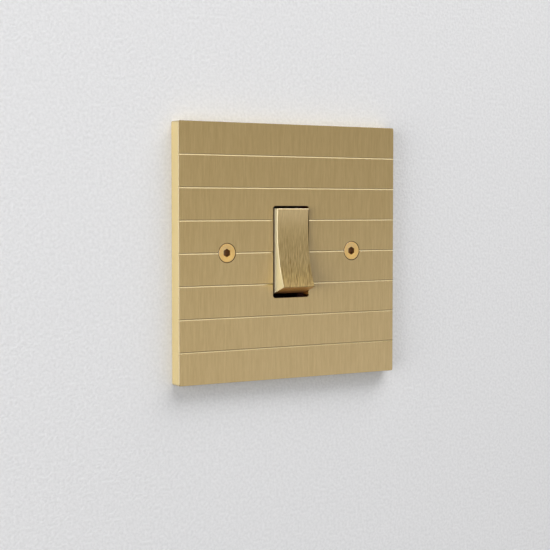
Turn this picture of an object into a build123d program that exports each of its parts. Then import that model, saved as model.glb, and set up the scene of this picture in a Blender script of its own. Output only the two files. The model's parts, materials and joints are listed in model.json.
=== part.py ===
from build123d import *
import os
from math import cos, radians, sin, tan

# Single rocker wall switch in solid brass. Sizes are in millimetres and degrees.
# X runs right and Z up, and the front faces -Y. The wall is the plane y = 0:
# the plate stands in front of it and the switch mechanism lies behind it.

os.makedirs("parts", exist_ok=True)

# Front plate
plate_side = 86.0
plate_thickness = 5.0
plate_corner_radius = 0.6
plate_edge_chamfer = 0.12
plate_rear_chamfer = 0.15
groove_bands = 8
groove_width = 0.6
groove_depth = 0.17
aperture_corner_radius = 1.0

# Rocker cap: a brass block with a hollowed front and leaning end faces
rocker_width = 12.5
rocker_length = 26.6
rocker_hollow = 1.75
rocker_projection = 3.43
rocker_flare = 11.5
rocker_depth = 7.0
rocker_edge_chamfer = 0.15
rocker_tilt = 8.2
rocker_side_gap = 1.0
rocker_end_gap = 0.67
cap_wall = 1.6
cap_end_wall = 2.6
cap_pocket_depth = 3.6

# Rocker carrier: the moulded dolly that turns on the pin under the cap
pivot_setback = 1.65
pin_diameter = 2.0
pin_end_recess = 0.5
press_clearance = 0.02
running_clearance = 0.05
seat_clearance = 0.1
hub_overhang = 0.65
hub_length = 8.0
hub_drop = 2.4
carrier_skirt = 1.0
tail_diameter = 6.4
tail_length = 7.4
spring_bore_diameter = 4.0
spring_bore_top = 1.9
cap_screw_diameter = 2.0
cap_screw_spacing = 19.0
cap_screw_head_diameter = 3.5
cap_screw_head_height = 1.2
cap_screw_recess = 0.2
cap_screw_grip = 1.8

# Plunger and its spring
plunger_body_length = 2.9
plunger_shoulder = 0.5
plunger_lead = 0.7
nose_radius = 1.5
spring_wire = 0.4
spring_turns = 4.0
spring_sides = 8

# Plate screws and their bushes
plate_screw_spacing = 50.0
plate_screw_diameter = 3.5
plate_screw_head_diameter = 6.3
plate_screw_head_height = 2.2
plate_screw_head_chamfer = 0.1
plate_screw_tip_setback = 0.6
socket_across_flats = 2.5
socket_turn = 30.0
socket_depth = 1.8
socket_dish_diameter = 5.2
socket_dish_angle = 166.0
head_ring_gap = 0.15
hole_clearance = 0.15
thread_clearance = 0.03
bush_diameter = 6.0
bush_spigot_diameter = 5.0
bush_length = 4.5

# Mounting frame
frame_thickness = 1.6
frame_side_margin = 6.0
frame_end_margin = 5.85
frame_corner_radius = 3.0
frame_pocket_clearance = 0.4
box_fixing_spacing = 60.3
box_slot_length = 8.0
box_slot_width = 4.0
box_head_diameter = 7.0
box_head_clearance = 0.6
box_head_room = 2.0
tab_length = 6.5
tab_height = 11.0
tab_gap = 0.15
tab_bend_radius = 1.4
lug_height = 5.0
lug_length = 2.2
lug_rise = 0.9
lug_start = 2.3
lug_clearance = 0.2

# Switch housing
housing_width = 24.0
housing_height = 47.0
housing_corner_radius = 2.0
housing_wall = 1.8
housing_front_wall = 2.0
hub_side_clearance = 0.3
well_end_clearance = 0.65
well_corner_radius = 1.0
collar_wall = 2.4
collar_setback = 0.2
collar_clearance = 0.2
cheek_depth = 4.5
cheek_height = 8.0
stop_height = 2.0
stop_depth = 2.5
stop_offset = 0.3
stop_clearance = 0.2

# Contact blade and its bracket
blade_throw = 7.0
blade_width = 5.2
blade_thickness = 1.0
blade_end = 1.6
blade_gap = 0.2
trunnion_diameter = 1.4
trunnion_reach = 4.2
contact_arm = 9.0
contact_diameter = 3.0
contact_height = 1.0
contact_chamfer = 0.35
contact_clearance = 0.2
ear_thickness = 0.9
ear_height = 4.4
ear_lead = 1.0
ear_side_gap = 0.4
notch_clearance = 0.06
bracket_height = 6.4

# Fixed contacts, terminals and the base that carries them
strip_thickness = 0.8
strip_width = 6.6
strip_edge = 2.2
fixed_contact_height = 0.76
terminal_pitch = 10.6
terminal_size = 7.0
terminal_length = 10.0
terminal_clearance = 0.1
terminal_recess = 1.0
wire_bore_diameter = 3.4
wire_bore_depth = 8.0
clamp_screw_diameter = 3.0
clamp_screw_head_diameter = 4.8
clamp_screw_head_height = 1.8
clamp_screw_head_chamfer = 0.3
clamp_screw_length = 3.75
clamp_screw_setback = 0.05
clamp_screw_inset = 4.3
screw_slot_width = 0.7
screw_slot_depth = 0.8
base_flange = 2.0
base_spigot = 1.0
spigot_clearance = 0.3
base_block_width = 20.0
base_block_wall = 2.4
base_block_radius = 1.0
base_edge_chamfer = 0.5
access_clearance = 0.2
base_screw_side_inset = 3.6
base_screw_diameter = 2.5
base_screw_head_diameter = 4.4
base_screw_head_height = 1.6
base_screw_head_chamfer = 0.4
base_screw_reach = 6.0
base_boss_diameter = 5.2
pilot_spare = 1.0

# Earth terminal on the frame
earth_size = 8.0
earth_side_inset = 9.0
earth_end_inset = 12.0
earth_spigot_diameter = 3.2

# Places worked out from the sizes above
tilt = radians(rocker_tilt)
front_reach = plate_thickness + rocker_projection + pivot_setback
cap_rear = front_reach - rocker_depth
cap_floor = cap_rear + cap_pocket_depth
half_length = rocker_length / 2
flare = tan(radians(rocker_flare))
rear_half_length = half_length + rocker_depth * flare
carrier_rear = cap_rear - carrier_skirt
carrier_half_length = rear_half_length - cap_end_wall - seat_clearance
carrier_half_width = rocker_width / 2 - cap_wall - seat_clearance
hub_width = rocker_width + 2 * hub_overhang


def height_when_pressed(out, up):
    """Height of a point of the rocker with its upper end pushed right in."""
    return out * sin(tilt) + up * cos(tilt)


def stand_when_pressed(out, up):
    """How far the same point then stands in front of the hinge axis."""
    return out * cos(tilt) - up * sin(tilt)


def wall_plane(depth):
    """Plane at a depth behind the wall, drawn as it is seen from the front."""
    return Plane.XZ.offset(-depth)


# The pressed end face comes nearest to the plate where the plate's wall ends
wall_stand = pivot_setback + frame_thickness
nearest_out = wall_stand + (half_length + front_reach * flare) * sin(tilt)
nearest_out = nearest_out / (cos(tilt) + flare * sin(tilt))
nearest_up = half_length + (front_reach - nearest_out) * flare
aperture_width = rocker_width + 2 * rocker_side_gap
aperture_height = 2 * (height_when_pressed(nearest_out, nearest_up) + rocker_end_gap)

frame_width = plate_screw_spacing + 2 * frame_side_margin
frame_height = box_fixing_spacing + 2 * frame_end_margin
well_width = hub_width + 2 * hub_side_clearance
well_height = 2 * (height_when_pressed(cap_rear, rear_half_length) + well_end_clearance)
collar_width = well_width + 2 * collar_wall
collar_height = well_height + 2 * collar_wall
stop_front = pivot_setback - stand_when_pressed(carrier_rear, carrier_half_length) + stop_clearance
stop_middle = carrier_half_length + stop_offset
cap_screw_seat = carrier_rear + cap_screw_recess + cap_screw_head_height
tab_inner = housing_width / 2 + tab_gap
tab_outer = tab_inner + frame_thickness

nose_reach = tail_length + plunger_lead + nose_radius
blade_depth = pivot_setback + nose_reach + blade_gap + blade_thickness / 2
throw = radians(blade_throw)
closed_depth = blade_depth + (blade_thickness / 2 + contact_height) * cos(throw) + contact_arm * sin(throw)
strip_front = closed_depth + contact_clearance + fixed_contact_height
seat_depth = strip_front + strip_thickness
housing_depth = seat_depth + base_spigot
flange_rear = housing_depth + base_flange
terminal_rear = seat_depth + terminal_length
base_rear = terminal_rear + terminal_recess
clamp_depth = terminal_rear - clamp_screw_inset
terminal_heights = (-terminal_pitch, 0, terminal_pitch)
clamp_screw_tip = wire_bore_diameter / 2 + clamp_screw_setback
clamp_screw_seat = clamp_screw_tip + clamp_screw_length
base_block_height = 2 * terminal_pitch + terminal_size + 2 * terminal_clearance + 2 * base_block_wall
base_screw_spacing_x = housing_width - 2 * base_screw_side_inset
base_screw_spacing_z = (housing_height + base_block_height) / 2
base_spigot_height = base_screw_spacing_z - base_boss_diameter - 2 * spigot_clearance
earth_x = frame_width / 2 - earth_side_inset
earth_z = earth_end_inset - frame_height / 2

# The rocker rests with its upper end pressed, the blade with its lower end closed
outward = (0, -cos(tilt), sin(tilt))
pivot = (0, pivot_setback, 0)
rocker_side = Plane(origin=pivot, x_dir=outward, z_dir=(-1, 0, 0))
rocker_face = Plane(origin=pivot, x_dir=(1, 0, 0), z_dir=outward)
blade_axis = (0, blade_depth, 0)
blade_side = Plane(origin=blade_axis, x_dir=(0, cos(throw), sin(throw)), z_dir=(1, 0, 0))
blade_face = Plane(origin=blade_axis, x_dir=(1, 0, 0), z_dir=(0, -cos(throw), -sin(throw)))

# Front plate: grooved brass with an aperture, two screw holes and a pocket behind
with BuildPart() as front_plate:
    with BuildSketch(wall_plane(0)):
        RectangleRounded(plate_side, plate_side, plate_corner_radius)
    extrude(amount=plate_thickness)
    chamfer(front_plate.faces().sort_by(Axis.Y)[0].edges(), plate_edge_chamfer)
    chamfer(front_plate.faces().sort_by(Axis.Y)[-1].edges(), plate_rear_chamfer)
    with BuildSketch(Plane.YZ):
        with Locations((-plate_thickness, 0)):
            with GridLocations(0, plate_side / groove_bands, 1, groove_bands - 1):
                Polygon((0, groove_width / 2), (groove_depth, 0), (0, -groove_width / 2), align=None)
    extrude(amount=plate_side, both=True, mode=Mode.SUBTRACT)
    with BuildSketch(wall_plane(0)):
        RectangleRounded(aperture_width, aperture_height, aperture_corner_radius)
    extrude(amount=plate_thickness, mode=Mode.SUBTRACT)
    with BuildSketch(wall_plane(0)):
        RectangleRounded(
            frame_width + 2 * frame_pocket_clearance,
            frame_height + 2 * frame_pocket_clearance,
            frame_corner_radius + frame_pocket_clearance,
        )
    extrude(amount=frame_thickness, mode=Mode.SUBTRACT)
    with BuildSketch(wall_plane(-frame_thickness)):
        with GridLocations(0, box_fixing_spacing, 1, 2):
            SlotCenterToCenter(
                box_slot_length - box_slot_width, box_head_diameter + 2 * box_head_clearance, rotation=90
            )
    extrude(amount=box_head_room, mode=Mode.SUBTRACT)
    with Locations(wall_plane(-plate_thickness)):
        with GridLocations(plate_screw_spacing, 0, 2, 1):
            CounterBoreHole(
                radius=plate_screw_diameter / 2 + hole_clearance,
                counter_bore_radius=plate_screw_head_diameter / 2 + head_ring_gap,
                counter_bore_depth=plate_screw_head_height,
            )
front_plate.part.label = "front_plate"
export_step(front_plate.part, "parts/front_plate.step")

# Plate screws: flush round heads, dished a little towards a hexagon socket
plate_screw_seat = plate_screw_head_height - plate_thickness
plate_screw_tip = bush_length - plate_screw_tip_setback
with BuildPart() as plate_screws:
    with BuildSketch(wall_plane(plate_screw_seat)):
        with GridLocations(plate_screw_spacing, 0, 2, 1):
            Circle(plate_screw_head_diameter / 2)
    extrude(amount=plate_screw_head_height)
    chamfer(plate_screws.edges().group_by(Axis.Y)[0], plate_screw_head_chamfer)
    with BuildSketch(wall_plane(plate_screw_tip)):
        with GridLocations(plate_screw_spacing, 0, 2, 1):
            Circle(plate_screw_diameter / 2)
    extrude(amount=plate_screw_tip - plate_screw_seat)
    with Locations(wall_plane(-plate_thickness)):
        with GridLocations(plate_screw_spacing, 0, 2, 1):
            CounterSinkHole(
                radius=socket_across_flats / 2,
                counter_sink_radius=socket_dish_diameter / 2,
                depth=socket_depth,
                counter_sink_angle=socket_dish_angle,
            )
    with BuildSketch(wall_plane(-plate_thickness)):
        with GridLocations(plate_screw_spacing, 0, 2, 1):
            RegularPolygon(socket_across_flats / 2, 6, major_radius=False, rotation=socket_turn)
    extrude(amount=-socket_depth, mode=Mode.SUBTRACT)
plate_screws.part.label = "plate_screws"
export_step(plate_screws.part, "parts/plate_screws.step")

# Mounting frame: pressed steel with slots for the wall box and two tabs bent back
with BuildPart() as mounting_frame:
    with BuildSketch(wall_plane(0)):
        RectangleRounded(frame_width, frame_height, frame_corner_radius)
        RectangleRounded(
            collar_width + 2 * collar_clearance,
            collar_height + 2 * collar_clearance,
            well_corner_radius + collar_clearance,
            mode=Mode.SUBTRACT,
        )
        with GridLocations(0, box_fixing_spacing, 1, 2):
            SlotOverall(box_slot_length, box_slot_width, rotation=90, mode=Mode.SUBTRACT)
        with GridLocations(plate_screw_spacing, 0, 2, 1):
            Circle(bush_spigot_diameter / 2 + press_clearance, mode=Mode.SUBTRACT)
        with GridLocations(2 * tab_outer + tab_length, 0, 2, 1):
            Rectangle(tab_length, tab_height, mode=Mode.SUBTRACT)
        with Locations((earth_x, earth_z)):
            Circle(earth_spigot_diameter / 2 + press_clearance, mode=Mode.SUBTRACT)
    extrude(amount=frame_thickness)
    with BuildSketch(wall_plane(0)):
        with GridLocations(tab_inner + tab_outer, 0, 2, 1):
            Rectangle(frame_thickness, tab_height)
    extrude(amount=-tab_length)
    with BuildSketch(Plane.XY):
        with Locations((tab_outer - tab_bend_radius / 2, tab_bend_radius / 2 - frame_thickness)):
            Rectangle(tab_bend_radius, tab_bend_radius)
        with Locations((tab_outer - tab_bend_radius, tab_bend_radius - frame_thickness)):
            Circle(tab_bend_radius, mode=Mode.SUBTRACT)
        mirror(about=Plane.YZ)
    extrude(amount=tab_height / 2, both=True, mode=Mode.SUBTRACT)
    with BuildSketch(Plane.YZ):
        with Locations((lug_start + lug_length / 2, 0)):
            Rectangle(lug_length + 2 * lug_clearance, lug_height + 2 * lug_clearance)
    extrude(amount=tab_outer, both=True, mode=Mode.SUBTRACT)
mounting_frame.part.label = "mounting_frame"
export_step(mounting_frame.part, "parts/mounting_frame.step")

# Threaded bushes, riveted into the frame from behind
with BuildPart() as frame_bushes:
    with BuildSketch(wall_plane(bush_length)):
        with GridLocations(plate_screw_spacing, 0, 2, 1):
            Circle(bush_diameter / 2)
    extrude(amount=bush_length)
    with BuildSketch(wall_plane(0)):
        with GridLocations(plate_screw_spacing, 0, 2, 1):
            Circle(bush_spigot_diameter / 2)
    extrude(amount=frame_thickness)
    with BuildSketch(wall_plane(bush_length)):
        with GridLocations(plate_screw_spacing, 0, 2, 1):
            Circle(plate_screw_diameter / 2 + thread_clearance)
    extrude(amount=bush_length + frame_thickness, mode=Mode.SUBTRACT)
frame_bushes.part.label = "frame_bushes"
export_step(frame_bushes.part, "parts/frame_bushes.step")

# Switch housing: a moulded shell, open behind, whose collar stands in the frame
with BuildPart() as switch_housing:
    with BuildSketch(wall_plane(housing_depth)):
        RectangleRounded(housing_width, housing_height, housing_corner_radius)
    extrude(amount=housing_depth)
    with BuildSketch(wall_plane(0)):
        RectangleRounded(collar_width, collar_height, well_corner_radius)
    extrude(amount=frame_thickness - collar_setback)
    with BuildSketch(wall_plane(housing_depth)):
        Rectangle(housing_width - 2 * housing_wall, housing_height - 2 * housing_wall)
    extrude(amount=housing_depth - housing_front_wall, mode=Mode.SUBTRACT)
    with BuildSketch(wall_plane(housing_depth)):
        with GridLocations(base_screw_spacing_x, base_screw_spacing_z, 2, 2):
            Circle(base_boss_diameter / 2)
    extrude(amount=housing_depth - housing_front_wall)
    with BuildSketch(wall_plane(cheek_depth)):
        with GridLocations((housing_width + well_width) / 2, 0, 2, 1):
            Rectangle((housing_width - well_width) / 2, cheek_height)
    extrude(amount=cheek_depth)
    with BuildSketch(wall_plane(cheek_depth)):
        RectangleRounded(well_width, well_height, well_corner_radius)
    extrude(amount=cheek_depth + frame_thickness, mode=Mode.SUBTRACT)
    with BuildSketch(wall_plane(stop_front + stop_depth)):
        with GridLocations(0, 2 * stop_middle, 1, 2):
            Rectangle(housing_width - housing_wall, stop_height)
    extrude(amount=stop_depth)
    with BuildSketch(Plane.XY):
        with BuildLine():
            Polyline(
                (housing_width / 2, lug_start),
                (housing_width / 2 + lug_rise, lug_start + lug_length),
                (housing_width / 2, lug_start + lug_length),
                close=True,
            )
        make_face()
        mirror(about=Plane.YZ)
    extrude(amount=lug_height / 2, both=True)
    with BuildSketch(Plane.YZ):
        with Locations((pivot_setback, 0)):
            Circle(pin_diameter / 2 + press_clearance)
    extrude(amount=housing_width, both=True, mode=Mode.SUBTRACT)
    with BuildSketch(wall_plane(housing_depth)):
        with GridLocations(base_screw_spacing_x, base_screw_spacing_z, 2, 2):
            Circle(base_screw_diameter / 2 + thread_clearance)
    extrude(amount=base_screw_reach + pilot_spare, mode=Mode.SUBTRACT)
switch_housing.part.label = "switch_housing"
export_step(switch_housing.part, "parts/switch_housing.step")

# Rocker pin: pressed into the housing's cheeks
with BuildPart() as rocker_pin:
    with BuildSketch(Plane.YZ):
        with Locations((pivot_setback, 0)):
            Circle(pin_diameter / 2)
    extrude(amount=housing_width / 2 - pin_end_recess, both=True)
rocker_pin.part.label = "rocker_pin"
export_step(rocker_pin.part, "parts/rocker_pin.step")

# Rocker cap: hollowed front, leaning ends, and a pocket that takes the carrier
with BuildPart() as rocker_cap:
    with BuildSketch(rocker_side):
        with BuildLine():
            ThreePointArc(
                (front_reach, half_length), (front_reach - rocker_hollow, 0), (front_reach, -half_length)
            )
            Polyline(
                (front_reach, -half_length),
                (cap_rear, -rear_half_length),
                (cap_rear, rear_half_length),
                (front_reach, half_length),
            )
        make_face()
    extrude(amount=rocker_width / 2, both=True)
    outer_edges = rocker_cap.edges().filter_by(
        lambda e: rocker_face.to_local_coords(e).center().Z > cap_floor
    )
    chamfer(outer_edges, rocker_edge_chamfer)
    with BuildSketch(rocker_face.offset(cap_rear)):
        Rectangle(rocker_width - 2 * cap_wall, 2 * (rear_half_length - cap_end_wall))
    extrude(amount=cap_pocket_depth, mode=Mode.SUBTRACT)
    with BuildSketch(rocker_face.offset(cap_floor)):
        with GridLocations(0, cap_screw_spacing, 1, 2):
            Circle(cap_screw_diameter / 2 + thread_clearance)
    extrude(amount=cap_screw_grip + seat_clearance, mode=Mode.SUBTRACT)
rocker_cap.part.label = "rocker_cap"
export_step(rocker_cap.part, "parts/rocker_cap.step")

# Rocker carrier: fills the cap's pocket, turns on the pin and holds the spring in its tail
with BuildPart() as rocker_carrier:
    with BuildSketch(rocker_face.offset(carrier_rear)):
        Rectangle(2 * carrier_half_width, 2 * carrier_half_length)
    extrude(amount=cap_floor - carrier_rear)
    with BuildSketch(rocker_face.offset(-hub_drop)):
        Rectangle(hub_width, hub_length)
    extrude(amount=hub_drop + cap_rear - seat_clearance)
    with BuildSketch(rocker_face.offset(-tail_length)):
        Circle(tail_diameter / 2)
    extrude(amount=tail_length)
    with BuildSketch(rocker_face.offset(-tail_length)):
        Circle(spring_bore_diameter / 2)
    extrude(amount=tail_length - spring_bore_top, mode=Mode.SUBTRACT)
    with BuildSketch(rocker_side):
        Circle(pin_diameter / 2 + running_clearance)
    extrude(amount=hub_width, both=True, mode=Mode.SUBTRACT)
    with BuildSketch(rocker_face.offset(carrier_rear)):
        with GridLocations(0, cap_screw_spacing, 1, 2):
            Circle(cap_screw_diameter / 2 + hole_clearance)
    extrude(amount=cap_floor - carrier_rear, mode=Mode.SUBTRACT)
    with BuildSketch(rocker_face.offset(carrier_rear)):
        with GridLocations(0, cap_screw_spacing, 1, 2):
            Circle(cap_screw_head_diameter / 2 + hole_clearance)
    extrude(amount=cap_screw_recess + cap_screw_head_height, mode=Mode.SUBTRACT)
rocker_carrier.part.label = "rocker_carrier"
export_step(rocker_carrier.part, "parts/rocker_carrier.step")

# Cap screws: up through the carrier into the cap, with their heads sunk in the carrier
with BuildPart() as cap_screws:
    with BuildSketch(rocker_face.offset(cap_screw_seat)):
        with GridLocations(0, cap_screw_spacing, 1, 2):
            Circle(cap_screw_head_diameter / 2)
    extrude(amount=-cap_screw_head_height)
    with BuildSketch(rocker_face.offset(cap_screw_seat)):
        with GridLocations(0, cap_screw_spacing, 1, 2):
            Circle(cap_screw_diameter / 2)
    extrude(amount=cap_floor - cap_screw_seat + cap_screw_grip)
    with BuildSketch(rocker_face.offset(cap_screw_seat - cap_screw_head_height)):
        with GridLocations(0, cap_screw_spacing, 1, 2):
            Rectangle(cap_screw_head_diameter, screw_slot_width)
    extrude(amount=screw_slot_depth, mode=Mode.SUBTRACT)
cap_screws.part.label = "cap_screws"
export_step(cap_screws.part, "parts/cap_screws.step")

# Plunger: slides in the tail's bore, with a round nose towards the blade
plunger_end = tail_length + plunger_lead
plunger_radius = spring_bore_diameter / 2 - running_clearance
plunger_top = plunger_end - plunger_body_length
with BuildPart() as plunger:
    with BuildSketch(rocker_side):
        with BuildLine():
            Polyline(
                (-nose_reach, 0),
                (-plunger_top, 0),
                (-plunger_top, plunger_radius),
                (plunger_shoulder - plunger_end, plunger_radius),
                (-plunger_end, nose_radius),
            )
            RadiusArc((-plunger_end, nose_radius), (-nose_reach, 0), -nose_radius)
        make_face()
    revolve(axis=Axis(pivot, outward))
plunger.part.label = "plunger"
export_step(plunger.part, "parts/plunger.step")

# Plunger spring: between the bore's blind end and the plunger, its round wire drawn with eight flats
spring_start = spring_bore_top + spring_wire / 2 + running_clearance
spring_height = plunger_top - spring_wire / 2 - running_clearance - spring_start
spring_radius = spring_bore_diameter / 2 - running_clearance - spring_wire / 2 - seat_clearance
inward = (0, cos(tilt), -sin(tilt))
with BuildPart() as plunger_spring:
    with BuildLine() as coil:
        Helix(
            spring_height / spring_turns,
            spring_height,
            spring_radius,
            center=rocker_face.from_local_coords((0, 0, -spring_start)),
            direction=inward,
        )
    with BuildSketch(Plane(origin=coil.line @ 0, z_dir=coil.line % 0)):
        RegularPolygon(spring_wire / 2, spring_sides)
    sweep(path=coil.line, is_frenet=True)
plunger_spring.part.label = "plunger_spring"
export_step(plunger_spring.part, "parts/plunger_spring.step")

# Contact blade: a see-saw bar with round trunnions that lie in the bracket's notches
with BuildPart() as contact_blade:
    with BuildSketch(blade_side):
        Rectangle(blade_thickness, 2 * (contact_arm + blade_end))
    extrude(amount=blade_width / 2, both=True)
    with BuildSketch(blade_side):
        Circle(trunnion_diameter / 2)
    extrude(amount=trunnion_reach, both=True)
contact_blade.part.label = "contact_blade"
export_step(contact_blade.part, "parts/contact_blade.step")

# Moving contacts: silver buttons on the blade's rear face
with BuildPart() as moving_contacts:
    with BuildSketch(blade_face.offset(-blade_thickness / 2 - contact_height)):
        with GridLocations(0, 2 * contact_arm, 1, 2):
            Circle(contact_diameter / 2)
    extrude(amount=contact_height)
    rear_rims = moving_contacts.edges().filter_by(
        lambda e: blade_face.to_local_coords(e).center().Z < -blade_thickness / 2 - contact_height / 2
    )
    chamfer(rear_rims.filter_by(GeomType.CIRCLE), contact_chamfer)
moving_contacts.part.label = "moving_contacts"
export_step(moving_contacts.part, "parts/moving_contacts.step")

# Blade bracket: two notched ears on a foot that lies on the common terminal
ear_inner = blade_width / 2 + ear_side_gap
ear_outer = ear_inner + ear_thickness
with BuildPart() as blade_bracket:
    with BuildSketch(wall_plane(seat_depth)):
        Rectangle(2 * ear_outer, bracket_height)
    extrude(amount=strip_thickness)
    with BuildSketch(wall_plane(strip_front)):
        with GridLocations(ear_inner + ear_outer, 0, 2, 1):
            Rectangle(ear_thickness, ear_height)
    extrude(amount=strip_front - blade_depth + ear_lead)
    with BuildSketch(Plane.YZ):
        with Locations((blade_depth, 0)):
            Circle(trunnion_diameter / 2 + notch_clearance)
        with Locations((blade_depth - ear_lead / 2, 0)):
            Rectangle(ear_lead, trunnion_diameter + 2 * notch_clearance)
    extrude(amount=ear_outer, both=True, mode=Mode.SUBTRACT)
blade_bracket.part.label = "blade_bracket"
export_step(blade_bracket.part, "parts/blade_bracket.step")

# Line contact strips: each lies on its terminal and carries one fixed contact
strip_low = contact_arm - strip_edge
strip_high = terminal_pitch + terminal_size / 2
for name, side in (("upper_line_contact", 1), ("lower_line_contact", -1)):
    with BuildPart() as line_contact:
        with BuildSketch(wall_plane(seat_depth)):
            with Locations((0, side * (strip_low + strip_high) / 2)):
                RectangleRounded(strip_width, strip_high - strip_low, strip_thickness)
        extrude(amount=strip_thickness)
    line_contact.part.label = name
    export_step(line_contact.part, f"parts/{name}.step")

# Fixed contacts: silver buttons on the strips
with BuildPart() as fixed_contacts:
    with BuildSketch(wall_plane(strip_front)):
        with GridLocations(0, 2 * contact_arm, 1, 2):
            Circle(contact_diameter / 2)
    extrude(amount=fixed_contact_height)
    chamfer(fixed_contacts.edges().group_by(Axis.Y)[0], contact_chamfer)
fixed_contacts.part.label = "fixed_contacts"
export_step(fixed_contacts.part, "parts/fixed_contacts.step")

# Terminals: brass blocks, bored for the wire from behind and tapped from the side
terminal_names = ("lower_line_terminal", "common_terminal", "upper_line_terminal")
for name, height in zip(terminal_names, terminal_heights):
    with BuildPart() as terminal:
        with BuildSketch(wall_plane(terminal_rear)):
            with Locations((0, height)):
                Rectangle(terminal_size, terminal_size)
        extrude(amount=terminal_length)
        with BuildSketch(wall_plane(terminal_rear)):
            with Locations((0, height)):
                Circle(wire_bore_diameter / 2)
        extrude(amount=wire_bore_depth, mode=Mode.SUBTRACT)
        with BuildSketch(Plane.YZ):
            with Locations((clamp_depth, height)):
                Circle(clamp_screw_diameter / 2 + thread_clearance)
        extrude(amount=terminal_size, mode=Mode.SUBTRACT)
    terminal.part.label = name
    export_step(terminal.part, f"parts/{name}.step")

# Clamping screws: slotted, backed out so that the wires can enter
with BuildPart() as terminal_screws:
    with BuildSketch(Plane.YZ.offset(clamp_screw_tip)):
        with Locations(*[(clamp_depth, height) for height in terminal_heights]):
            Circle(clamp_screw_diameter / 2)
    extrude(amount=clamp_screw_length)
    with BuildSketch(Plane.YZ.offset(clamp_screw_seat)):
        with Locations(*[(clamp_depth, height) for height in terminal_heights]):
            Circle(clamp_screw_head_diameter / 2)
    extrude(amount=clamp_screw_head_height)
    chamfer(terminal_screws.edges().group_by(Axis.X)[-1], clamp_screw_head_chamfer)
    with BuildSketch(Plane.YZ.offset(clamp_screw_seat + clamp_screw_head_height)):
        with Locations(*[(clamp_depth, height) for height in terminal_heights]):
            Rectangle(clamp_screw_head_diameter, screw_slot_width)
    extrude(amount=-screw_slot_depth, mode=Mode.SUBTRACT)
terminal_screws.part.label = "terminal_screws"
export_step(terminal_screws.part, "parts/terminal_screws.step")

# Terminal base: the moulded rear cover, with a pocket for each terminal
with BuildPart() as terminal_base:
    with BuildSketch(wall_plane(flange_rear)):
        RectangleRounded(housing_width, housing_height, housing_corner_radius)
    extrude(amount=base_flange)
    chamfer(terminal_base.faces().sort_by(Axis.Y)[-1].edges(), base_edge_chamfer)
    with BuildSketch(wall_plane(housing_depth)):
        Rectangle(housing_width - 2 * housing_wall - 2 * seat_clearance, base_spigot_height)
    extrude(amount=base_spigot)
    with BuildSketch(wall_plane(base_rear)):
        RectangleRounded(base_block_width, base_block_height, base_block_radius)
    extrude(amount=base_rear - flange_rear)
    chamfer(terminal_base.faces().sort_by(Axis.Y)[-1].edges(), base_edge_chamfer)
    with BuildSketch(wall_plane(base_rear)):
        with GridLocations(0, terminal_pitch, 1, len(terminal_heights)):
            Rectangle(terminal_size + 2 * terminal_clearance, terminal_size + 2 * terminal_clearance)
    extrude(amount=base_rear - seat_depth, mode=Mode.SUBTRACT)
    with BuildSketch(wall_plane(flange_rear)):
        with GridLocations(base_screw_spacing_x, base_screw_spacing_z, 2, 2):
            Circle(base_screw_diameter / 2 + hole_clearance)
    extrude(amount=base_flange, mode=Mode.SUBTRACT)
    with BuildSketch(Plane.YZ):
        with Locations(*[(clamp_depth, height) for height in terminal_heights]):
            Circle(clamp_screw_head_diameter / 2 + access_clearance)
    extrude(amount=base_block_width, mode=Mode.SUBTRACT)
terminal_base.part.label = "terminal_base"
export_step(terminal_base.part, "parts/terminal_base.step")

# Base screws: from behind into the housing's bosses
with BuildPart() as base_screws:
    with BuildSketch(wall_plane(flange_rear + base_screw_head_height)):
        with GridLocations(base_screw_spacing_x, base_screw_spacing_z, 2, 2):
            Circle(base_screw_head_diameter / 2)
    extrude(amount=base_screw_head_height)
    chamfer(base_screws.edges().group_by(Axis.Y)[-1], base_screw_head_chamfer)
    with BuildSketch(wall_plane(flange_rear)):
        with GridLocations(base_screw_spacing_x, base_screw_spacing_z, 2, 2):
            Circle(base_screw_diameter / 2)
    extrude(amount=base_flange + base_screw_reach)
    with BuildSketch(wall_plane(flange_rear + base_screw_head_height)):
        with GridLocations(base_screw_spacing_x, base_screw_spacing_z, 2, 2):
            Rectangle(base_screw_head_diameter, screw_slot_width)
    extrude(amount=screw_slot_depth, mode=Mode.SUBTRACT)
base_screws.part.label = "base_screws"
export_step(base_screws.part, "parts/base_screws.step")

# Earth terminal: a brass block riveted to the frame, bored across for the wire
with BuildPart() as earth_terminal:
    with BuildSketch(wall_plane(earth_size)):
        with Locations((earth_x, earth_z)):
            Rectangle(earth_size, earth_size)
    extrude(amount=earth_size)
    with BuildSketch(wall_plane(0)):
        with Locations((earth_x, earth_z)):
            Circle(earth_spigot_diameter / 2)
    extrude(amount=frame_thickness)
    with BuildSketch(Plane.XY.offset(earth_z)):
        with Locations((earth_x, earth_size / 2)):
            Circle(wire_bore_diameter / 2)
    extrude(amount=earth_size, both=True, mode=Mode.SUBTRACT)
    with BuildSketch(wall_plane(earth_size)):
        with Locations((earth_x, earth_z)):
            Circle(clamp_screw_diameter / 2 + thread_clearance)
    extrude(amount=earth_size / 2, mode=Mode.SUBTRACT)
earth_terminal.part.label = "earth_terminal"
export_step(earth_terminal.part, "parts/earth_terminal.step")

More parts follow.
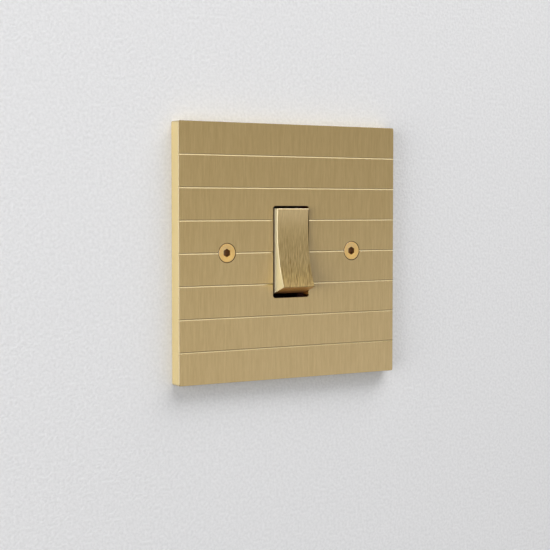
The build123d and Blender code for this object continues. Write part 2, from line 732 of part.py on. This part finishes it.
# Earth screw: slotted, backed out like the others
earth_screw_seat = earth_size / 2 + clamp_screw_seat
with BuildPart() as earth_screw:
    with BuildSketch(wall_plane(earth_screw_seat)):
        with Locations((earth_x, earth_z)):
            Circle(clamp_screw_diameter / 2)
    extrude(amount=clamp_screw_length)
    with BuildSketch(wall_plane(earth_screw_seat + clamp_screw_head_height)):
        with Locations((earth_x, earth_z)):
            Circle(clamp_screw_head_diameter / 2)
    extrude(amount=clamp_screw_head_height)
    chamfer(earth_screw.edges().group_by(Axis.Y)[-1], clamp_screw_head_chamfer)
    with BuildSketch(wall_plane(earth_screw_seat + clamp_screw_head_height)):
        with Locations((earth_x, earth_z)):
            Rectangle(clamp_screw_head_diameter, screw_slot_width)
    extrude(amount=screw_slot_depth, mode=Mode.SUBTRACT)
earth_screw.part.label = "earth_screw"
export_step(earth_screw.part, "parts/earth_screw.step")
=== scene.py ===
import json
from math import cos, pi, radians, sin

import bpy
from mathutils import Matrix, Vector


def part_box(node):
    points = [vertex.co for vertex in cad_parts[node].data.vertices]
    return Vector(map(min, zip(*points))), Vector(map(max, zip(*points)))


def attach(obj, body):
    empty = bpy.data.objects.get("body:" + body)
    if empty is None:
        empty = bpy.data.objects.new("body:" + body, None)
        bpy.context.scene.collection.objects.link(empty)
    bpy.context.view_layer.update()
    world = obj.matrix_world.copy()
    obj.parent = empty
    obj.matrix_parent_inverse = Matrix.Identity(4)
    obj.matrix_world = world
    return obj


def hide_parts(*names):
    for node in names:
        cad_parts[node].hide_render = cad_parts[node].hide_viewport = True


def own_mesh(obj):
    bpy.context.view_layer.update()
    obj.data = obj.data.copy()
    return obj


# Looks of a brass rocker switch on a plastered wall. Lengths are in metres unless a name
# says mm. X runs right and Z up, the front faces -Y, and the wall is the plane y = 0.
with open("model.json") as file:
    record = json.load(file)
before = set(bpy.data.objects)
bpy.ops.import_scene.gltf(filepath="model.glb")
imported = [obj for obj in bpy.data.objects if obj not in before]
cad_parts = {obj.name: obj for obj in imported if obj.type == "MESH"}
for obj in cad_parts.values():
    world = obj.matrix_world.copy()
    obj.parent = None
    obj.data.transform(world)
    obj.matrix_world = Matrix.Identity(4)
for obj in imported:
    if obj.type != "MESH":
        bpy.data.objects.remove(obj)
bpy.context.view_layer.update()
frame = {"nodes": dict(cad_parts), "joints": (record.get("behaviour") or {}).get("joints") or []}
nodes = frame["nodes"]
joints = {joint["name"]: joint for joint in frame["joints"]}
plate_low, plate_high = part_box("front_plate")
MM = 0.001
PLATE_FRONT = plate_low.y

# Camera, as it stood for the photograph; its yaw and pitch are in degrees
IMAGE_PIXELS = 550
FOCAL_PIXELS = 1377.4
SENSOR_MM = 36.0
CAMERA_PLACE = (-0.25137, -0.39832, 0.01445)
CAMERA_YAW = 31.911
CAMERA_PITCH = 2.739
CAMERA_NEAR = 0.01

# Light: a dim room whose floor is paler, and four soft lamps. The floor's heights are those
# of a direction, from -1 to 1. A lamp's place is in degrees left of straight ahead and above
# the level, its size in metres and its power in watts.
ROOM_COLOUR = "#7F7E7F"
FLOOR_COLOUR = "#909090"
FLOOR_FULL = -0.1
FLOOR_TOP = 0.2
LAMP_DISTANCE = 1.6
HIGH_LAMP = {"left": -25.0, "up": 58.0, "width": 2.0, "height": 0.92, "power": 24.0}
LEFT_LAMP = {"left": 72.0, "up": 0.0, "width": 0.9, "height": 1.2, "power": 14.4}
FRONT_LAMP = {"left": 45.0, "up": 0.0, "width": 0.9, "height": 1.2, "power": 4.1}
LOW_LAMP = {"left": -47.0, "up": -11.0, "width": 1.3, "height": 0.45, "power": 1.2}

# Lacquered brass, brushed upright: reflections spread across the brushing. The spread leans
# a little inwards, so that the faces that look sideways have a direction for it too.
BRASS_ROUGHNESS = 0.5
BRASS_STRETCH = 0.85
BRASS_SPREAD = {"X": 1.0, "Y": 0.3}
LACQUER_WEIGHT = 1.0
LACQUER_ROUGHNESS = 0.25
LACQUER_INDEX = 1.85

# The plate's tones: its front; its edges, paler as painted light; the chamfer of its upright edges,
# darker as painted shade; the walls of its grooves that look up, darker as painted shade, and down;
# the wall of its opening, painted shade; and the ring round each screw, painted shade
BRASS_DARK = "#D4B574"
BRASS_LIGHT = "#E0C383"
# Paler than the front: painted light for the bright light that the edges catch
BRASS_EDGE_PAINTED_LIGHT = "#D2BD82"
# Darker: painted shade that dulls the highlight on the chamfers
BRASS_CORNER_PAINTED_SHADE = "#94804C"
# The groove walls that look up are darker: painted shade that dulls their highlight
BRASS_GROOVE_UP_PAINTED_SHADE = "#927B2E"
BRASS_GROOVE_DOWN = "#D8BE84"
# Painted shade deep in the opening
BRASS_OPENING_PAINTED_SHADE = "#8A5A24"
# Painted shade in the gap round each screw head
RING_PAINTED_SHADE = "#7A5526"
PLATE_RELIEF = 0.004 * MM

# Which faces of the plate take which tone, by how far they look along an axis, from -1 to 1:
# between the two numbers the first tone gives way to the second
FRONT_TO_SLOPE = (-0.97, -0.9)
SLOPE_TO_EDGE = (-0.65, -0.4)
GROOVE_TO_CORNER = (0.4, 0.6)
GROOVE_DOWN_TO_UP = (-0.3, 0.3)

# The opening lies within these distances of the middle, and its wall takes painted shade behind the
# front
OPENING_REACH = {"X": 8.0 * MM, "Z": 16.5 * MM}
OPENING_BRIGHT_TO_BROWN = (PLATE_FRONT + 0.2 * MM, PLATE_FRONT + 0.6 * MM)

# The rocker's tones: its face at the top and at the lower end, its sides outside and inside
# the opening, paler as painted light and palest inside, where the opening shades them, and the end
# that looks down, brighter as painted light
ROCKER_DARK = "#AC863C"
ROCKER_LIGHT = "#FAE09E"
ROCKER_DARK_LOW = "#8A6420"
ROCKER_LIGHT_LOW = "#EED080"
# Paler than the face: painted light for the bright light that the sides catch
ROCKER_SIDE_PAINTED_LIGHT = "#D2C7A0"
# Paler still: painted light where the opening shades the sides
ROCKER_SIDE_INSIDE_PAINTED_LIGHT = "#FFF2CE"
# Bright: painted light on the end that looks down into shade
ROCKER_LOWER_END_PAINTED_LIGHT = "#FFCB80"
ROCKER_RELIEF = 0.012 * MM
LOW_TO_TOP = (-9.0 * MM, -2.0 * MM)
OUTSIDE_TO_INSIDE = (PLATE_FRONT - 0.6 * MM, PLATE_FRONT + 0.6 * MM)
FACE_TO_SIDE = (-0.85, -0.6)
LOWER_END_TO_REST = (-0.8, -0.6)

# The rocker's brushing is at its full depth below the first height, and least above the second
BRUSH_FULL_BELOW = -4.0 * MM
BRUSH_LEAST_ABOVE = 9.0 * MM
BRUSH_LEAST = 0.3

# Screws: places of their axes, their bright tones, the painted shade in the socket and on the
# head's sides, and the ring of painted shade at the head's edge
SCREW_REACH = 25.0 * MM
SCREW_DARK = "#FFD27A"
SCREW_LIGHT = "#FFE092"
# Painted shade in the socket and on the head's sides
SCREW_SOCKET_PAINTED_SHADE = "#9A6A1C"
SCREW_SMOOTH = 0.62
SCREW_ROUGH = 0.7
SCREW_BRIGHT_TO_BROWN = (PLATE_FRONT + 0.18 * MM, PLATE_FRONT + 0.4 * MM)
RING_INNER = 3.02 * MM
RING_OUTER = 3.38 * MM
RING_FADE = 0.1 * MM

# Plunger spring: distances run inwards from the rocker's pivot, along the plunger. Faces of
# its wire that meet at less than the last angle, in degrees, are shaded as one.
PIVOT = Vector(joints["rocker_tip"]["pos_m"])
COIL_START = 2.15 * MM
COIL_LENGTH = 2.8 * MM
COIL_RADIUS = 1.65 * MM
COIL_WIRE = 0.4 * MM
COIL_TURNS = 4
COIL_STEPS = 28
COIL_WIRE_SIDES = 12
COIL_WELD = 0.001 * MM
COIL_SMOOTH_BELOW = 60

# The frame, the mouldings, and the wall
ZINC_SMOOTH = 0.34
ZINC_ROUGH = 0.5
RESIN_SMOOTH = 0.42
RESIN_ROUGH = 0.6
RESIN_INDEX = 1.5
RESIN_RELIEF = 0.02 * MM
RESIN_RELIEF_STRENGTH = 0.6
NYLON_INDEX = 1.53
PLASTER_ROUGHNESS = 0.9
PLASTER_RELIEF = 0.15 * MM
WALL_HALF_SIDE = 2.5
WALL_HOLE_INSET = 0.2 * MM

# Noise keeps near its middle: the span that its values fill, alone and as the sum of two,
# and the spans of a share and of a mark that is lighter or darker than the rest
NOISE_SPAN = (0.3, 0.7)
NOISE_LIMITS = {"From Min": NOISE_SPAN[0], "From Max": NOISE_SPAN[1]}
NOISE_SUM_SPAN = (0.7, 1.3)
FULL_SPAN = (0.0, 1.0)
MARK_SPAN = (-0.5, 0.5)

# Sockets of a Mix node that mixes colours, which share their names with others
MIX_SHARE = 0
MIX_FIRST = 6
MIX_SECOND = 7
MIX_COLOUR = 2


def linear(hex_colour):
    """The linear colour that shaders take, from an sRGB hex value."""
    channels = [int(hex_colour[i:i + 2], 16) / 255 for i in (1, 3, 5)]
    return [c / 12.92 if c <= 0.04045 else ((c + 0.055) / 1.055) ** 2.4 for c in channels] + [1.0]


def join(tree, node, inputs):
    """Sets each named input of a node to a value, or links it to another node's output."""
    for name, value in inputs.items():
        if isinstance(value, bpy.types.NodeSocket):
            tree.links.new(value, node.inputs[name])
        else:
            node.inputs[name].default_value = value


def add(tree, kind, inputs=None, **settings):
    """Adds one node with its own settings and its inputs."""
    node = tree.nodes.new(kind)
    for name, value in settings.items():
        setattr(node, name, value)
    join(tree, node, inputs or {})
    return node


def new_material(name):
    """A fresh material, with its node tree and its main shader."""
    material = bpy.data.materials.new(name)
    material.use_nodes = True
    tree = material.node_tree
    return material, tree, tree.nodes["Principled BSDF"]


def grain(tree, size_mm, detail=2.0, turn=0.0):
    """Noise whose marks have the given sizes along X, Y and Z, turned by degrees about Z."""
    turned = add(tree, "ShaderNodeMapping", {
        "Vector": add(tree, "ShaderNodeTexCoord").outputs["Object"],
        "Rotation": (0.0, 0.0, radians(turn)),
    })
    drawn = add(tree, "ShaderNodeMapping", {
        "Vector": turned.outputs["Vector"],
        "Scale": [1 / (s * MM) for s in size_mm],
    })
    return add(tree, "ShaderNodeTexNoise", {
        "Vector": drawn.outputs["Vector"],
        "Scale": 1.0,
        "Detail": detail,
    }).outputs["Fac"]


def along(tree, axis, coordinates="Object"):
    """One axis of a place on the object, of the way a face looks, or of a direction in the room."""
    vector = add(tree, "ShaderNodeTexCoord").outputs[coordinates]
    return add(tree, "ShaderNodeSeparateXYZ", {"Vector": vector}).outputs[axis]


def tint(tree, value, limits, first, second):
    """Goes from one tone to another as a value goes between its limits; tones are hex or sockets."""
    share = add(tree, "ShaderNodeMapRange", {
        "Value": value,
        "From Min": limits[0],
        "From Max": limits[1],
    })
    return add(tree, "ShaderNodeMix", {
        MIX_SHARE: share.outputs["Result"],
        MIX_FIRST: linear(first) if isinstance(first, str) else first,
        MIX_SECOND: linear(second) if isinstance(second, str) else second,
    }, data_type="RGBA").outputs[MIX_COLOUR]


def from_screw(tree):
    """The distance from the axis of the nearer plate screw, in metres."""
    aside = add(tree, "ShaderNodeMath", {0: along(tree, "X")}, operation="ABSOLUTE")
    across = add(tree, "ShaderNodeMath", {0: aside.outputs[0], 1: SCREW_REACH}, operation="SUBTRACT")
    offset = add(tree, "ShaderNodeCombineXYZ", {"X": across.outputs[0], "Z": along(tree, "Z")})
    length = add(tree, "ShaderNodeVectorMath", {0: offset.outputs["Vector"]}, operation="LENGTH")
    return length.outputs["Value"]


def in_opening(tree):
    """1 within the reach of the plate's opening, and 0 elsewhere."""
    inside = 1.0
    for axis, reach in OPENING_REACH.items():
        aside = add(tree, "ShaderNodeMath", {0: along(tree, axis)}, operation="ABSOLUTE")
        near = add(tree, "ShaderNodeMath", {0: aside.outputs[0], 1: reach}, operation="LESS_THAN")
        both = add(tree, "ShaderNodeMath", {0: inside, 1: near.outputs[0]}, operation="MULTIPLY")
        inside = both.outputs[0]
    return inside


def finish_brushed(tree, shader, tone, brushing, relief):
    """What the plate and the rocker share: brushed brass under a clear lacquer."""
    bump = add(tree, "ShaderNodeBump", {"Height": brushing, "Strength": 1.0, "Distance": relief})
    join(tree, shader, {
        "Base Color": tone,
        "Metallic": 1.0,
        "Roughness": BRASS_ROUGHNESS,
        "Anisotropic": BRASS_STRETCH,
        "Tangent": add(tree, "ShaderNodeCombineXYZ", BRASS_SPREAD).outputs["Vector"],
        "Coat Weight": LACQUER_WEIGHT,
        "Coat Roughness": LACQUER_ROUGHNESS,
        "Coat IOR": LACQUER_INDEX,
        "Normal": bump.outputs["Normal"],
    })


def satin_plate_brass():
    """Solid brass drawn down a belt and lacquered: upright hairlines spread reflections sideways."""
    material, tree, shader = new_material("satin_plate_brass")
    # Real hairlines are about 0.05 mm wide, finer than a pixel, and are drawn three times as wide
    hairline = grain(tree, (0.17, 0.17, 2.4), detail=3.0)
    streak = grain(tree, (0.6, 0.6, 9.0), detail=1.0)
    marks = add(tree, "ShaderNodeMath", {0: hairline, 1: streak}, operation="ADD").outputs[0]
    brushed = tint(tree, marks, NOISE_SUM_SPAN, BRASS_DARK, BRASS_LIGHT)
    # Edges take painted light, and chamfers and up-facing groove walls take painted shade
    upwards = along(tree, "Z", "Normal")
    # Groove walls that look up take a darker tone: painted shade that dulls their highlight
    groove = tint(tree, upwards, GROOVE_DOWN_TO_UP, BRASS_GROOVE_DOWN, BRASS_GROOVE_UP_PAINTED_SHADE)
    sideways = add(tree, "ShaderNodeMath", {0: along(tree, "X", "Normal")}, operation="ABSOLUTE")
    # Chamfers of upright edges take a darker tone, painted shade that dulls their highlight
    slope = tint(tree, sideways.outputs[0], GROOVE_TO_CORNER, groove, BRASS_CORNER_PAINTED_SHADE)
    front = along(tree, "Y", "Normal")
    # Edges and sides take a paler tone, painted light
    cut = tint(tree, front, SLOPE_TO_EDGE, slope, BRASS_EDGE_PAINTED_LIGHT)
    shown = tint(tree, front, FRONT_TO_SLOPE, brushed, cut)
    # The ring round each screw takes painted shade
    ringed = tint(tree, from_screw(tree), (RING_OUTER - RING_FADE, RING_OUTER), RING_PAINTED_SHADE, shown)
    # Behind its front edge the wall of the opening takes a brown painted shade
    opening_painted_shade = tint(tree, along(tree, "Y"), OPENING_BRIGHT_TO_BROWN, ringed, BRASS_OPENING_PAINTED_SHADE)
    tone = tint(tree, in_opening(tree), FULL_SPAN, ringed, opening_painted_shade)
    finish_brushed(tree, shader, tone, hairline, PLATE_RELIEF)
    return material


def satin_rocker_brass():
    """Brass brushed by hand along the hollow: short wavering marks, deeper towards the lower end."""
    material, tree, shader = new_material("satin_rocker_brass")
    # Drawn wider than the real 0.05 mm, which is finer than a pixel, and turned, so that the
    # marks waver where the hollow cuts through them
    fibre = grain(tree, (0.12, 3.0, 3.0), detail=1.5, turn=32.0)
    height = along(tree, "Z")
    depth = add(tree, "ShaderNodeMapRange", {
        "Value": height,
        "From Min": BRUSH_FULL_BELOW,
        "From Max": BRUSH_LEAST_ABOVE,
        "To Min": 1.0,
        "To Max": BRUSH_LEAST,
    })
    mark = add(tree, "ShaderNodeMapRange", {
        "Value": fibre,
        **NOISE_LIMITS,
        "To Min": MARK_SPAN[0],
        "To Max": MARK_SPAN[1],
    })
    brushing = add(tree, "ShaderNodeMath", {
        0: mark.outputs["Result"],
        1: depth.outputs["Result"],
    }, operation="MULTIPLY").outputs[0]
    dark = tint(tree, height, LOW_TO_TOP, ROCKER_DARK_LOW, ROCKER_DARK)
    light = tint(tree, height, LOW_TO_TOP, ROCKER_LIGHT_LOW, ROCKER_LIGHT)
    brushed = tint(tree, brushing, MARK_SPAN, dark, light)
    # The sides and the lower end aren't brushed, and their paler tones are painted light
    # Sides take a pale tone, painted light, and a paler one inside the opening where shade falls
    side = tint(tree, along(tree, "Y"), OUTSIDE_TO_INSIDE, ROCKER_SIDE_PAINTED_LIGHT, ROCKER_SIDE_INSIDE_PAINTED_LIGHT)
    shown = tint(tree, along(tree, "Y", "Normal"), FACE_TO_SIDE, brushed, side)
    # The end that looks down takes a bright tone: painted light on a shaded face
    tone = tint(tree, along(tree, "Z", "Normal"), LOWER_END_TO_REST, ROCKER_LOWER_END_PAINTED_LIGHT, shown)
    finish_brushed(tree, shader, tone, brushing, ROCKER_RELIEF)
    return material


def turned_screw_brass():
    """Brass turned on a lathe and left bright, with painted shade in the socket and on the head's
    sides.
    """
    material, tree, shader = new_material("turned_screw_brass")
    # Turning marks are finer than a pixel, and are drawn as soft patches of half a millimetre
    mark = grain(tree, (0.5, 0.5, 0.5))
    bright = tint(tree, mark, NOISE_SPAN, SCREW_DARK, SCREW_LIGHT)
    # The head's rim takes the ring's painted shade
    face = tint(tree, from_screw(tree), (RING_INNER, RING_INNER + RING_FADE), bright, RING_PAINTED_SHADE)
    varied = add(tree, "ShaderNodeMapRange", {
        "Value": mark,
        **NOISE_LIMITS,
        "To Min": SCREW_SMOOTH,
        "To Max": SCREW_ROUGH,
    })
    # Deeper than the head's face, the tone gives way to painted shade: the socket and the head's
    # sides
    join(tree, shader, {
        "Base Color": tint(tree, along(tree, "Y"), SCREW_BRIGHT_TO_BROWN, face, SCREW_SOCKET_PAINTED_SHADE),
        "Metallic": 1.0,
        "Roughness": varied.outputs["Result"],
        "Coat Weight": LACQUER_WEIGHT,
        "Coat Roughness": LACQUER_ROUGHNESS,
        "Coat IOR": LACQUER_INDEX,
    })
    return material


def mottled(name, size_mm, tones, roughness, constants):
    """A material whose tone and roughness vary with one pattern, drawn wide enough to show."""
    material, tree, shader = new_material(name)
    marks = grain(tree, size_mm)
    varied = add(tree, "ShaderNodeMapRange", {
        "Value": marks,
        **NOISE_LIMITS,
        "To Min": roughness[0],
        "To Max": roughness[1],
    })
    join(tree, shader, {
        "Base Color": tint(tree, marks, NOISE_SPAN, *tones),
        "Roughness": varied.outputs["Result"],
        **constants,
    })
    return material


def machined_terminal_brass():
    """Bar brass, sawn and drilled: yellow, with short cutter marks."""
    tones = ("#CFA85C", "#E3C27A")
    return mottled("machined_terminal_brass", (2.0, 0.25, 2.0), tones, (0.25, 0.4), {"Metallic": 1.0})


def nickel_plated_steel():
    """Small turned steel parts under nickel: warm grey and fairly bright."""
    tones = ("#B9B6B0", "#D3D0CA")
    return mottled("nickel_plated_steel", (0.6, 0.6, 0.6), tones, (0.22, 0.36), {"Metallic": 1.0})


def rolled_copper_strip():
    """Contact strip in a copper alloy: reddish, with rolling lines."""
    tones = ("#C98A5E", "#DDA479")
    return mottled("rolled_copper_strip", (0.3, 4.0, 4.0), tones, (0.25, 0.4), {"Metallic": 1.0})


def silver_contact_alloy():
    """Silver contact buttons: pale, with a thin dull skin."""
    tones = ("#C9C6BE", "#E4E2DC")
    return mottled("silver_contact_alloy", (0.4, 0.4, 0.4), tones, (0.3, 0.45), {"Metallic": 1.0})


def natural_nylon():
    """Undyed nylon: milky, slightly waxy."""
    tones = ("#DDD8C8", "#EAE6D9")
    return mottled("natural_nylon", (1.5, 1.5, 1.5), tones, (0.4, 0.5), {"IOR": NYLON_INDEX})


def zinc_plated_sheet():
    """Pressed steel with bright zinc: cool grey with a faint rolled grain."""
    material, tree, shader = new_material("zinc_plated_sheet")
    roll = grain(tree, (6.0, 6.0, 0.4), detail=3.0)
    cloud = grain(tree, (9.0, 9.0, 9.0))
    marks = add(tree, "ShaderNodeMath", {0: roll, 1: cloud}, operation="ADD").outputs[0]
    varied = add(tree, "ShaderNodeMapRange", {
        "Value": cloud,
        **NOISE_LIMITS,
        "To Min": ZINC_SMOOTH,
        "To Max": ZINC_ROUGH,
    })
    join(tree, shader, {
        "Base Color": tint(tree, marks, NOISE_SUM_SPAN, "#B3B8BD", "#D2D5D6"),
        "Metallic": 1.0,
        "Roughness": varied.outputs["Result"],
    })
    return material


def moulded_brown_resin():
    """Dark brown thermoset moulding: a soft sheen with the fine spark texture of the tool."""
    material, tree, shader = new_material("moulded_brown_resin")
    spark = grain(tree, (0.35, 0.35, 0.35), detail=3.0)
    cloud = grain(tree, (7.0, 7.0, 7.0), detail=1.0)
    varied = add(tree, "ShaderNodeMapRange", {
        "Value": spark,
        **NOISE_LIMITS,
        "To Min": RESIN_SMOOTH,
        "To Max": RESIN_ROUGH,
    })
    bump = add(tree, "ShaderNodeBump", {
        "Height": spark,
        "Strength": RESIN_RELIEF_STRENGTH,
        "Distance": RESIN_RELIEF,
    })
    join(tree, shader, {
        "Base Color": tint(tree, cloud, NOISE_SPAN, "#4A2C26", "#5A3830"),
        "Roughness": varied.outputs["Result"],
        "IOR": RESIN_INDEX,
        "Normal": bump.outputs["Normal"],
    })
    return material


def painted_plaster():
    """Emulsion on plaster: matt white-grey with a fine orange-peel roughness; clear from behind."""
    material, tree, shader = new_material("painted_plaster")
    peel = grain(tree, (0.95, 0.95, 0.95), detail=1.0)
    bump = add(tree, "ShaderNodeBump", {"Height": peel, "Strength": 1.0, "Distance": PLASTER_RELIEF})
    join(tree, shader, {
        "Base Color": tint(tree, peel, NOISE_SPAN, "#E5E5E6", "#EFEFF0"),
        "Roughness": PLASTER_ROUGHNESS,
        "Normal": bump.outputs["Normal"],
    })
    # A Mix Shader takes its share, what shows from the front, and what shows from behind
    one_sided = add(tree, "ShaderNodeMixShader", {
        0: add(tree, "ShaderNodeNewGeometry").outputs["Backfacing"],
        1: shader.outputs["BSDF"],
        2: add(tree, "ShaderNodeBsdfTransparent").outputs["BSDF"],
    })
    join(tree, tree.nodes["Material Output"], {"Surface": one_sided.outputs["Shader"]})
    return material


def dress(material, *names):
    """Gives CAD nodes their finish."""
    for name in names:
        nodes[name].material_slots[0].material = material


def build_wall():
    """A plastered wall round the plate, open behind it where the wall box would be."""
    bpy.ops.object.select_all(action="DESELECT")
    bpy.ops.mesh.primitive_plane_add(size=2 * WALL_HALF_SIDE, rotation=(pi / 2, 0, 0))
    wall = bpy.context.object
    wall.name = "wall"
    bpy.ops.object.transform_apply(location=True, rotation=True, scale=True)
    bpy.ops.object.mode_set(mode="EDIT")
    bpy.ops.mesh.select_all(action="SELECT")
    bpy.ops.mesh.inset(thickness=WALL_HALF_SIDE - plate_high.x + WALL_HOLE_INSET)
    bpy.ops.mesh.delete(type="FACE")
    bpy.ops.object.mode_set(mode="OBJECT")
    wall.data.materials.append(painted_plaster())


def build_plunger_coil(material):
    """The round-wire spring in the rocker's tail, left fixed: the real one closes up as the plunger
    goes in.
    """
    slide = joints["plunger_slide"]
    outwards = Vector(slide["axis"]).normalized()
    bpy.ops.object.select_all(action="DESELECT")
    bpy.ops.mesh.primitive_circle_add(
        vertices=COIL_WIRE_SIDES, radius=COIL_WIRE / 2,
        location=(COIL_RADIUS, 0, 0), rotation=(pi / 2, 0, 0),
    )
    coil = bpy.context.object
    coil.name = "plunger_coil"
    bpy.ops.object.transform_apply(location=True, rotation=True, scale=True)
    winding = coil.modifiers.new("winding", "SCREW")
    winding.axis = "Z"
    winding.iterations = COIL_TURNS
    winding.screw_offset = COIL_LENGTH / COIL_TURNS
    winding.steps = winding.render_steps = COIL_STEPS
    bpy.ops.object.modifier_apply(modifier=winding.name)
    bpy.ops.object.mode_set(mode="EDIT")
    bpy.ops.mesh.select_all(action="SELECT")
    bpy.ops.mesh.remove_doubles(threshold=COIL_WELD)
    bpy.ops.mesh.fill_holes(sides=COIL_WIRE_SIDES)
    bpy.ops.mesh.normals_make_consistent(inside=False)
    bpy.ops.object.mode_set(mode="OBJECT")
    bpy.ops.object.shade_smooth_by_angle(angle=radians(COIL_SMOOTH_BELOW))
    coil.location = PIVOT - outwards * COIL_START
    coil.rotation_euler = (-outwards).to_track_quat("Z", "Y").to_euler()
    bpy.ops.object.transform_apply(location=True, rotation=True, scale=True)
    coil.data.materials.append(material)
    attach(coil, "rocker")
    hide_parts("plunger_spring")
    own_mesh(coil)


def light_room():
    """A dim room with a paler floor, and soft lamps: high right, left, front left and low right."""
    world = bpy.data.worlds.new("room")
    bpy.context.scene.world = world
    world.use_nodes = True
    tree = world.node_tree
    height = along(tree, "Z", "Generated")
    join(tree, tree.nodes["Background"], {
        "Color": tint(tree, height, (FLOOR_FULL, FLOOR_TOP), FLOOR_COLOUR, ROOM_COLOUR),
        "Strength": 1.0,
    })
    lamps = {
        "high_lamp": HIGH_LAMP,
        "left_lamp": LEFT_LAMP,
        "front_lamp": FRONT_LAMP,
        "low_lamp": LOW_LAMP,
    }
    for name, lamp in lamps.items():
        left, up = radians(lamp["left"]), radians(lamp["up"])
        towards = Vector((-sin(left) * cos(up), -cos(left) * cos(up), sin(up)))
        light = bpy.data.lights.new(name, "AREA")
        light.shape = "RECTANGLE"
        light.size = lamp["width"]
        light.size_y = lamp["height"]
        light.energy = lamp["power"]
        holder = bpy.data.objects.new(name, light)
        holder.location = towards * LAMP_DISTANCE
        holder.rotation_euler = towards.to_track_quat("Z", "Y").to_euler()
        bpy.context.scene.collection.objects.link(holder)


def place_camera():
    """The photograph's viewpoint, from the left and a little above the middle."""
    lens = bpy.data.cameras.new("camera")
    lens.sensor_fit = "HORIZONTAL"
    lens.sensor_width = SENSOR_MM
    lens.lens = FOCAL_PIXELS / IMAGE_PIXELS * SENSOR_MM
    lens.clip_start = CAMERA_NEAR
    camera = bpy.data.objects.new("camera", lens)
    camera.location = CAMERA_PLACE
    camera.rotation_euler = (radians(90 - CAMERA_PITCH), 0, radians(-CAMERA_YAW))
    bpy.context.scene.collection.objects.link(camera)
    bpy.context.scene.camera = camera


dress(satin_plate_brass(), "front_plate")
dress(satin_rocker_brass(), "rocker_cap")
dress(turned_screw_brass(), "plate_screws")
dress(zinc_plated_sheet(), "mounting_frame")
dress(
    machined_terminal_brass(), "frame_bushes", "common_terminal", "upper_line_terminal",
    "lower_line_terminal", "earth_terminal",
)
small_steel = nickel_plated_steel()
dress(
    small_steel, "rocker_pin", "cap_screws", "plunger_spring", "terminal_screws", "base_screws",
    "earth_screw",
)
dress(
    rolled_copper_strip(), "contact_blade", "blade_bracket", "upper_line_contact",
    "lower_line_contact",
)
dress(silver_contact_alloy(), "moving_contacts", "fixed_contacts")
dress(moulded_brown_resin(), "switch_housing", "terminal_base", "rocker_carrier")
dress(natural_nylon(), "plunger")

build_plunger_coil(small_steel)
build_wall()
light_room()
place_camera()
bpy.context.scene.view_settings.view_transform = "Standard"
